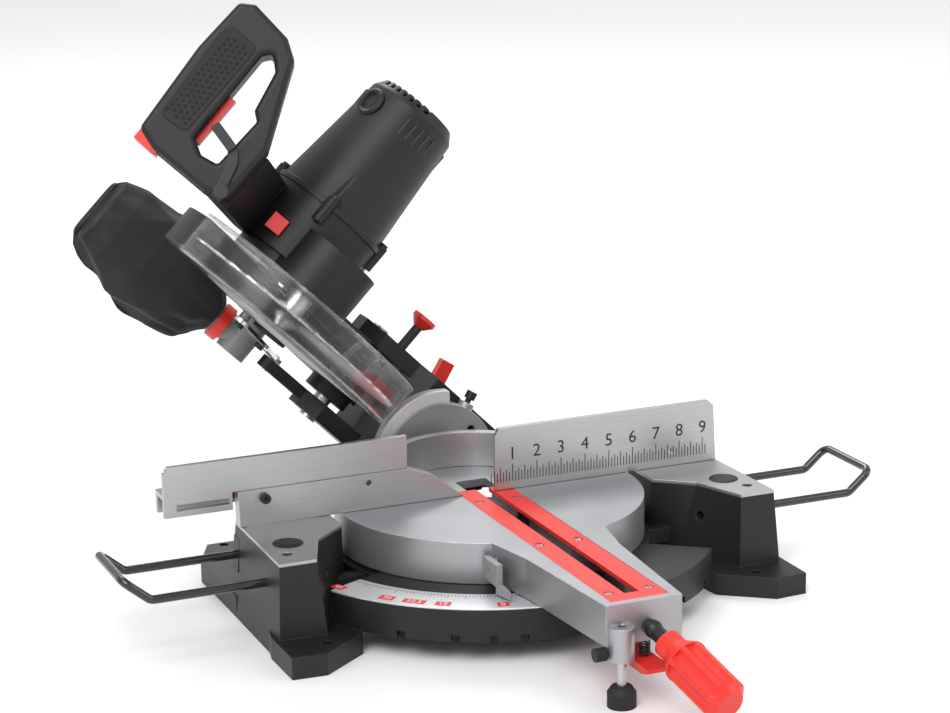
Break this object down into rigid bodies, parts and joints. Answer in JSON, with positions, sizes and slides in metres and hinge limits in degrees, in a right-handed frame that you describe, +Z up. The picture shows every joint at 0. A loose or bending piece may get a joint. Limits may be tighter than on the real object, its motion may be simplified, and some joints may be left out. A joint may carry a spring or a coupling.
{
  "type": "mitre saw",
  "caption": "Bevelling bench mitre saw: slotted turntable with front arm, tall fences, pull-out work supports, tilting and chopping motor head with blade guard and dust bag",
  "frame": {"origin": "centre of the four bench bolt holes, on the underside of the feet", "axes": "+X to the right along the fence, +Y to the back, +Z up"},
  "size_m": [0.762, 0.7085, 0.563],
  "materials": {
    "black_cast": "black powder coat",
    "machined": "machined, fine brushed",
    "cast_silver": "silver painted casting",
    "scale_metal": "printed satin plate",
    "steel": "turned steel",
    "black_steel": "black oxide",
    "black_wire": "gloss black",
    "red_plastic": "moulded red",
    "black_plastic": "moulded black",
    "rubber": "moulded",
    "clear_plastic": "clear polycarbonate",
    "grey_steel": "dark pressed steel",
    "blade_steel": "ground",
    "copper_iron": "laminated iron",
    "fabric": "woven",
    "grey_plastic": "moulded grey",
    "bright": "plated",
    "carbon": "carbon"
  },
  "bodies": {
    "base": {"base_casting": "black_cast", "table_plates": "machined", "mitre_scale": "scale_metal", "turntable_pivot_bolt": "steel", "fixed_fence": "machined", "fence_screws": "black_steel"},
    "left_fence": {"left_sliding_fence": "machined"},
    "fence_clamp": {"fence_clamp_lever": "red_plastic"},
    "left_extension": {"left_extension_loop": "black_wire"},
    "right_extension": {"right_extension_loop": "black_wire"},
    "turntable": {"turntable": "cast_silver", "kerf_insert": "red_plastic", "kerf_insert_screws": "steel", "mitre_pointer": "grey_plastic", "mitre_lock_shaft": "black_steel", "detent_spring": "black_steel", "foot_lock_knob": "black_plastic", "bevel_scale": "scale_metal", "bevel_stop_bolt": "black_steel"},
    "mitre_lock": {"mitre_lock_handle": "red_plastic"},
    "detent": {"detent_lever": "red_plastic"},
    "levelling_foot": {"levelling_stem": "steel", "levelling_foot": "rubber"},
    "bevel_arm": {"bevel_arm": "black_cast", "bevel_pivot_bolt": "steel", "chop_pivot_shaft": "steel", "chop_spring": "black_steel"},
    "bevel_lock": {"bevel_lock_lever": "red_plastic"},
    "hold_down": {"hold_down_pin": "black_steel", "hold_down_knob": "red_plastic"},
    "guard_link": {"guard_link": "bright", "guard_link_screws": "black_steel"},
    "head": {"head_casting": "black_cast", "gearcase": "black_plastic", "ball_bearings": "steel", "motor_housing": "black_plastic", "motor_end_cover": "black_plastic", "housing_screws": "black_steel", "brush_caps": "black_plastic", "carbon_brushes": "carbon", "stator": "copper_iron", "handle_front_shell": "black_plastic", "handle_back_shell": "black_plastic", "grip_pad": "rubber", "switch_body": "black_plastic", "dust_elbow": "grey_plastic", "dust_collar": "red_plastic", "dust_bag": "fabric"},
    "blade": {"saw_blade": "blade_steel", "blade_spindle": "steel", "blade_gear": "steel", "arbor_flanges": "steel"},
    "armature": {"armature": "copper_iron", "cooling_fan": "black_plastic"},
    "lower_guard": {"lower_guard": "clear_plastic", "guard_side_plate": "grey_steel"},
    "trigger": {"trigger": "red_plastic"},
    "lock_off": {"lock_off_button": "red_plastic"},
    "guard_release": {"guard_release_lever": "black_steel"},
    "spindle_lock": {"spindle_lock_button": "red_plastic"}
  },
  "joints": [
    {"name": "mitre", "type": "hinge", "parent": "base", "child": "turntable", "pos_m": [0, -0.0124, 0.07], "axis": [0, 0, 1], "range_deg": [-45, 45]},
    {"name": "left_fence_slide", "type": "slide", "parent": "base", "child": "left_fence", "axis": [1, 0, 0], "range_m": [-0.03, 0.0035]},
    {"name": "fence_clamp_turn", "type": "hinge", "parent": "base", "child": "fence_clamp", "pos_m": [-0.216, 0.02, 0.1155], "axis": [0, 1, 0], "range_deg": [0, 50]},
    {"name": "left_extension_slide", "type": "slide", "parent": "base", "child": "left_extension", "axis": [1, 0, 0], "range_m": [0, 0.055]},
    {"name": "right_extension_slide", "type": "slide", "parent": "base", "child": "right_extension", "axis": [-1, 0, 0], "range_m": [0, 0.055]},
    {"name": "mitre_lock_turn", "type": "hinge", "parent": "turntable", "child": "mitre_lock", "pos_m": [0.01013, -0.38154, 0.05446], "axis": [0.1703, -0.9318, -0.3206], "range_deg": [-180, 0]},
    {"name": "detent_release", "type": "hinge", "parent": "turntable", "child": "detent", "pos_m": [0, -0.272, 0.046], "axis": [1, 0, 0], "range_deg": [-2, 0], "stiffness_Nm_per_rad": 6, "springref_deg": 5.73, "deforming": ["detent_spring"]},
    {"name": "foot_height", "type": "slide", "parent": "turntable", "child": "levelling_foot", "axis": [0, 0, 1], "range_m": [0, 0.008]},
    {"name": "bevel", "type": "hinge", "parent": "turntable", "child": "bevel_arm", "pos_m": [0, 0.14, 0.0892], "axis": [0, 1, 0], "range_deg": [0, 45]},
    {"name": "bevel_lock_turn", "type": "hinge", "parent": "bevel_arm", "child": "bevel_lock", "pos_m": [0, 0.206, 0.0892], "axis": [0, 1, 0], "range_deg": [0, 30]},
    {"name": "hold_down_slide", "type": "slide", "parent": "bevel_arm", "child": "hold_down", "axis": [-0.7071, 0, -0.7071], "range_m": [0, 0.008]},
    {"name": "chop", "type": "hinge", "parent": "bevel_arm", "child": "head", "pos_m": [-0.08132, 0.165, 0.17052], "axis": [0.7071, 0, 0.7071], "range_deg": [0, 46], "stiffness_Nm_per_rad": 14, "springref_deg": -74.48},
    {"name": "guard_link_turn", "type": "hinge", "parent": "bevel_arm", "child": "guard_link", "pos_m": [-0.15394, 0.1715, 0.1894], "axis": [0.7071, 0, 0.7071], "range_deg": [0, 51]},
    {"name": "guard_retract", "type": "hinge", "parent": "head", "child": "lower_guard", "pos_m": [-0.18247, 0.03242, 0.27167], "axis": [0.7071, 0, 0.7071], "range_deg": [-107, 0]},
    {"name": "blade_spin", "type": "hinge", "parent": "head", "child": "blade", "pos_m": [-0.18247, 0.03242, 0.27167], "axis": [0.7071, 0, 0.7071], "continuous": true},
    {"name": "motor_spin", "type": "hinge", "parent": "head", "child": "armature", "pos_m": [-0.08841, 0.07165, 0.38974], "axis": [0.7071, 0, 0.7071], "continuous": true},
    {"name": "trigger_squeeze", "type": "slide", "parent": "head", "child": "trigger", "axis": [-0.6328, 0.4462, 0.6328], "range_m": [0, 0.005], "stiffness_N_per_m": 600, "springref_m": -0.002},
    {"name": "lock_off_press", "type": "slide", "parent": "head", "child": "lock_off", "axis": [0.7071, 0, 0.7071], "range_m": [0, 0.004], "stiffness_N_per_m": 500, "springref_m": -0.002},
    {"name": "guard_release_turn", "type": "hinge", "parent": "head", "child": "guard_release", "pos_m": [-0.25771, -0.02768, 0.40631], "axis": [-0.3155, -0.8949, 0.3155], "range_deg": [-10, 0], "stiffness_Nm_per_rad": 0.5, "springref_deg": 5.73},
    {"name": "spindle_lock_press", "type": "slide", "parent": "head", "child": "spindle_lock", "axis": [0.3155, 0.8949, -0.3155], "range_m": [0, 0.004], "stiffness_N_per_m": 500, "springref_m": -0.002}
  ],
  "couplings": [
    {"joint": "motor_spin", "follows": "blade_spin", "ratio": -4.1818},
    {"joint": "guard_retract", "follows": "chop", "ratio": -2.2861},
    {"joint": "guard_link_turn", "follows": "chop", "ratio": 1.086}
  ]
}
